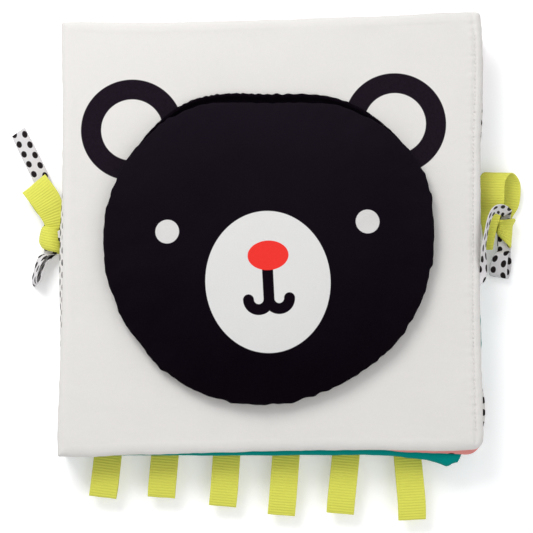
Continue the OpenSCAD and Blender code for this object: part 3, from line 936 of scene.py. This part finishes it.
def share_of_droop(out, reach, droop):
    """How far a tab's middle has drooped at that distance from the hem."""
    return droop * min(max(out / reach, 0), 1) ** 1.5


# The bows' knots, from the spine and from the fore edge
LEFT_KNOT = np.array([HINGE_X - 8.7, 2.26, 6.4])
RIGHT_KNOT = np.array([FORE_X + 18, 4.0, 7.0])
# Levels of the dotted ribbon's two passes through a knot
PASS_HIGH, PASS_LOW = -1.2, -2.9


def near(knot, rows):
    """Rows given from a knot, as places."""
    return [(knot[0] + x, knot[1] + y, knot[2] + z, *rest) for x, y, z, *rest in rows]


def straight_pass(level, x=0.0):
    return [(x, y, level, 8, 0, 0) for y in (12, 8.5, 0, -8.5)]


def last_pass(level, x=0.0):
    return [(x, y, level, 8, 0, 0) for y in (-8.5, -1, 6.5)]


def wrap(name, knot, rings, material):
    """A knot's wrap: a soft tube of ribbon through rings of x, y, z, half width, half height and slant."""
    around = 84
    path = smooth_rows(rings, 7)
    run = np.concatenate([[0], np.cumsum(np.linalg.norm(np.diff(path[:, [1, 3]], axis=0), axis=1))])
    points, uvs = [], []
    for k, (x, y, z, wide, tall, slant) in enumerate(path):
        for i in range(around):
            a = 2 * math.pi * i / around
            fold = 1 + 0.02 * math.sin(3 * a + run[k] * 0.3)
            fold += 0.035 * ripple(1.6 * math.cos(a), 1.6 * math.sin(a), run[k] * 0.16)
            out = wide * fold * math.cos(a)
            lift = slant * out + 0.35 * math.sin(2 * a + 1)
            points.append((knot[0] + x + out, knot[1] + y + lift, knot[2] + z + tall * fold * math.sin(a)))
            uvs.append((math.sin(a) * 6, run[k]))
    last = len(path) - 1
    faces = [(a, d, c, b) for a, b, c, d in bands(last + 1, around)]
    faces += [tuple(range(around)), tuple(last * around + i for i in range(around))[::-1]]
    return add_mesh(name, points, faces, [material], uvs=uvs)


def declare_wrap(obj, node, body):
    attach(obj, body)
    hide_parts(node)


def left_bow():
    k = LEFT_KNOT
    loop = ribbon("left_lime_loop", near(k, [
        (-0.4, 3, 1.6, 7, 0, 0), (0.2, 7.5, 2.8, 9.6, 8, 4), (0.4, 12, 3.8, 13.4, 18, 8),
        (-2.8, 20.5, 4.8, 17, 30, 8),
        (-10, 30.4, 3.4, 17.4, 39, 2), (-11.6, 32.2, 0.6, 17.4, 40, 0), (-10.2, 30, -1.8, 16.4, 39, 0),
        (-4.6, 19, -1.8, 13.4, 28, 0), (-1, 10.5, 0, 8.5, 10, 0), (-0.6, 3, -0.2, 7, 0, 0)]),
        GROSGRAIN, slack=0.2)
    declare_ribbon(loop, "left_lime_ribbon", "book_block")
    knot = wrap("left_lime_knot", k, [
        (-0.6, 4.6, 0, 2.6, 2.4, 0), (-0.6, 6.4, 0, 4, 3.8, 0), (-0.9, 6.2, 0.1, 5, 4.6, -0.1),
        (-1.3, 3, 0.2, 6, 5.1, -0.2), (-1.4, -1, 0.2, 6.6, 5.3, -0.24), (-1.2, -4.6, 0.1, 6.7, 5.3, -0.28),
        (-0.8, -6.8, 0, 6.2, 5, -0.3), (-0.7, -7.9, 0, 5.4, 4.2, -0.3), (-0.7, -7.6, 0, 4, 3, -0.3),
        (-0.7, -6, 0, 3, 2, -0.3)], GROSGRAIN)
    declare_wrap(knot, "left_lime_ribbon", "book_block")
    low = -4.2
    dotted = ribbon("left_dotted_length", near(k, [
        (-22, 64.4, low, 9.4, 36, 0), (-14.6, 49.6, low - 0.4, 10, 27, 0), (-7.4, 35, low - 0.6, 10, 22, 0),
        (-2.4, 21, low, 10, 10, 0), *straight_pass(PASS_HIGH, -1.5),
        (-5.6, -10.8, -0.8, 7.6, 6, 34), (-8.6, -16.2, -0.4, 9.6, 12, 60), (-10.4, -22, -0.4, 10, 12, 66),
        (-10.8, -25.8, -0.4, 10, 12, 68), (-9.6, -27.9, -0.4, 10, 12, 68), (-8.2, -25.8, -0.4, 10, 12, 68),
        (-7.4, -22, -0.4, 10, 12, 66), (-5.8, -16.4, -0.8, 9.4, 10, 60), (-3.4, -11.5, -2, 8, 6, 30),
        *last_pass(PASS_LOW, -1.5)]), DOT_RIBBON, slack=0.12)
    declare_ribbon(dotted, "left_dotted_ribbon", "book_block")
    edge = HINGE_X - k[0]
    stub = ribbon("left_dotted_stub", near(k, [
        (-2.4, 1.4, 1.6, 4, 90, 0), (0.5, 1.4, 2.4, 4.4, 90, 0), (3.2, 1.2, 3.2, 5.4, 90, 0),
        (5.4, 0.8, 3.2, 8.4, 90, 0),
        (edge - 0.9, 0.5, 2.6, 12, 90, 0), (edge + 1.5, 0.4, 2.3, 12.6, 90, 0)]), DOT_RIBBON, slack=0.25)
    declare_ribbon(stub, "left_dotted_ribbon", "book_block")


def right_bow():
    k = RIGHT_KNOT
    loop = ribbon("right_lime_loop", near(k, [
        (-10.6, -9, 1.4, 5.4, 0, 10), (-10, 3, 3, 8.6, 0, 10), (-9.4, 17, 6, 15.2, 0, 6),
        (-8.6, 31, 6.8, 15.8, 0, 0),
        (-4.2, 36.6, 3.8, 17.4, 0, -8), (0.8, 31.6, -1, 17.4, -4, -6), (1.2, 19, -3.4, 15, -6, 0),
        (0.6, 10.5, -4.2, 8, 0, 0), (0, 4, -3.8, 7, 0, 0)]), GROSGRAIN, slack=0.2)
    declare_ribbon(loop, "right_lime_ribbon", "front")
    knot = wrap("right_lime_knot", k, [
        (-0.2, 5.6, 0, 3.4, 3, 0.06), (-0.2, 8.2, 0, 4.6, 4.2, 0.06), (-0.2, 9, 0, 5.6, 5.4, 0.06),
        (-0.2, 8, 0, 6.1, 6, 0.04), (-0.3, 6.9, 0, 5.6, 5.4, 0), (-0.5, 5.6, 0, 4.9, 4.6, -0.1),
        (-0.7, 3.4, 0, 4.8, 4.8, -0.2), (-1, 0.4, 0, 4.8, 4.9, -0.45),
        (-1.1, -2.4, 0, 4.4, 4.8, -0.85), (-1, -4, 0, 3.9, 4.5, -1.05), (-1, -4.3, 0, 3.2, 3.8, -1.05),
        (-1, -3.2, 0, 2.2, 2.6, -1.05)], GROSGRAIN)
    declare_wrap(knot, "right_lime_ribbon", "front")
    sewn = (COVER_TOP + COVER_UNDER) / 2 - k[2]
    edge = FORE_X - k[0]
    foot = -28.5
    dotted = ribbon("right_dotted_length", near(k, [
        (edge - 3.5, foot - 3.5, sewn, 5, 135, 0), (edge - 0.7, foot - 0.7, sewn, 5, 135, 0),
        (edge + 1.4, foot + 2, sewn, 5, 135, 0), (edge + 2, -19.5, sewn + 2.8, 7, 152, 50),
        (edge + 1.8, -11, sewn + 5, 9.4, 164, 68), (edge + 3.2, -2, sewn + 4.6, 9.6, 164, 74),
        (edge + 5.4, 6.5, sewn + 2.7, 9.6, 156, 74), (edge + 8.6, 12, sewn - 0.8, 9.6, 128, 70),
        (edge + 13, 13.4, sewn - 6, 9.6, 80, 58), (0.4, 12.6, 6.2, 6.4, 46, 34),
        *straight_pass(PASS_HIGH, -0.6),
        (-2.8, -11, 0.6, 9, 4, 0), (-4.4, -17, 0.6, 10.4, 2, 2), (-4.8, -22.4, -0.4, 10.8, -4, 2),
        (-3.8, -24.8, -2.6, 10.8, -10, 2), (-2.2, -22.4, -4.4, 10.4, -14, 0), (-0.6, -16, -4.4, 9.4, -10, 0),
        (-0.6, -11, -3.4, 8, -4, 0), *last_pass(PASS_LOW, -0.6)]), DOT_RIBBON, slack=0.12)
    declare_ribbon(dotted, "right_dotted_ribbon", "front")


# How much the floor that the camera sees is lifted towards white
FLOOR_LIFT = 0.22


def floor():
    """A plain white floor that keeps the book's shadow."""
    size, level = 3000, -0.2
    spots = [(-size, -size, level), (size, -size, level), (size, size, level), (-size, size, level)]
    obj = add_mesh("floor", spots, [(0, 1, 2, 3)], [floor_material()])


def floor_material():
    n = Nodes("floor_paint")
    point = n.place()
    tone = n.shade((0.99, 0.99, 0.99, 1), n.noise(point, 0.004, 2), 0.998)
    rays = n.tree.nodes.new("ShaderNodeLightPath")
    seen = n.math("MAXIMUM", rays.outputs["Is Camera Ray"], rays.outputs["Is Glossy Ray"])
    seen = n.math("MAXIMUM", seen, rays.outputs["Is Transmission Ray"])
    n.shader.inputs["Emission Color"].default_value = (1, 1, 1, 1)
    n.put(n.math("MULTIPLY", seen, FLOOR_LIFT), n.shader.inputs["Emission Strength"])
    return n.finish(tone, 0.95, specular=0.05)


# Each lamp's name, place in metres, size and power
LAMPS = [("key", (-0.42, 0.66, 0.88), 0.55, 7.6), ("fill", (0.9, -0.6, 1.5), 1.4, 5.5)]
SKY_POWER = 0.61


def lights():
    """A soft key from the upper left, a weak fill from the right and an even sky."""
    for name, place, size, power in LAMPS:
        lamp = bpy.data.lights.new(name, "AREA")
        lamp.size = size
        lamp.energy = power
        obj = bpy.data.objects.new(name, lamp)
        obj.location = place
        obj.rotation_euler = (-Vector(place)).to_track_quat("-Z", "Y").to_euler()
        bpy.context.collection.objects.link(obj)
    world = bpy.data.worlds.new("sky")
    bpy.context.scene.world = world
    world.use_nodes = True
    tree = world.node_tree
    tree.nodes.clear()
    out = tree.nodes.new("ShaderNodeOutputWorld")
    seen, even = (tree.nodes.new("ShaderNodeBackground") for _ in range(2))
    seen.inputs["Color"].default_value = (1, 1, 1, 1)
    even.inputs["Color"].default_value = (0.97, 0.98, 1, 1)
    even.inputs["Strength"].default_value = SKY_POWER
    rays = tree.nodes.new("ShaderNodeLightPath")
    pick = tree.nodes.new("ShaderNodeMixShader")
    tree.links.new(rays.outputs["Is Camera Ray"], pick.inputs[0])
    tree.links.new(even.outputs[0], pick.inputs[1])
    tree.links.new(seen.outputs[0], pick.inputs[2])
    tree.links.new(pick.outputs[0], out.inputs[0])


# The photograph: its scale on the cover, and where the cover's middle is in it
PHOTO_SIZE = 533
PHOTO_MM = 0.578
PHOTO_MIDDLE = (272.2, 237.0)
CAMERA_FAR = 1000.0
CAMERA_LEAN = 5.5
SENSOR_MM = 36


def camera():
    centre = PHOTO_SIZE / 2
    aim_x = (centre - PHOTO_MIDDLE[0]) * PHOTO_MM
    aim_y = (PHOTO_MIDDLE[1] - centre) * PHOTO_MM
    aim = Vector((aim_x, aim_y, COVER_TOP)) * MM
    lean = math.radians(CAMERA_LEAN)
    eye = aim + Vector((0, -math.sin(lean), math.cos(lean))) * CAMERA_FAR * MM
    data = bpy.data.cameras.new("camera")
    data.sensor_width = SENSOR_MM
    data.sensor_fit = "HORIZONTAL"
    data.lens = SENSOR_MM * CAMERA_FAR / (PHOTO_SIZE * PHOTO_MM)
    obj = bpy.data.objects.new("camera", data)
    obj.location = eye
    obj.rotation_euler = (aim - eye).to_track_quat("-Z", "Y").to_euler()
    bpy.context.collection.objects.link(obj)
    bpy.context.scene.camera = obj


camera()
lights()
floor()
front_cover()
back_cover()
leaves()
spine()
head_backing()
head_pad()
ribbon_tabs()
left_bow()
right_bow()

bpy.context.scene.view_settings.view_transform = "Standard"
bpy.context.view_layer.update()
